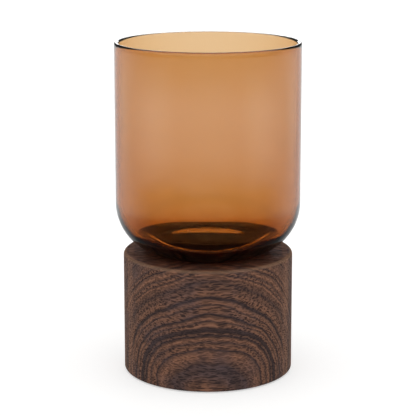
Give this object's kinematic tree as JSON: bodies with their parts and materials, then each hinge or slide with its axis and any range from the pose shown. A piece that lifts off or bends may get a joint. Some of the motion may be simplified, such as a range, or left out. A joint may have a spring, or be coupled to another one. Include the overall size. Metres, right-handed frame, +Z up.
{
  "type": "table candle holder",
  "caption": "Straight amber glass cup with a heavy rounded bottom, standing loose in a shallow seat on a turned dark wood cylinder.",
  "frame": {"origin": "centre of the underside of the felt, where the holder stands", "axes": "+Z up along the common axis of the cup and the base; the object is round, so X and Y are free, and the wood's fibres run along X"},
  "size_m": [0.1, 0.1, 0.18],
  "materials": {
    "clear_glass": "clear soda-lime glass, fire-polished, cased over the amber layer",
    "amber_glass": "transparent amber-brown glass layer on the inside of the cup",
    "dark_wood": "turned ring-porous hardwood, dark walnut stain, matt oil",
    "felt": "pressed wool felt, self-adhesive back"
  },
  "bodies": {
    "base": {"wood_base": "dark_wood", "felt_pad": "felt"},
    "cup": {"glass_cup": "clear_glass", "amber_lining": "amber_glass"}
  },
  "joints": [
    {"name": "cup_lift", "type": "slide", "parent": "base", "child": "cup", "axis": [0, 0, 1], "range_m": [0, 0.12]}
  ]
}
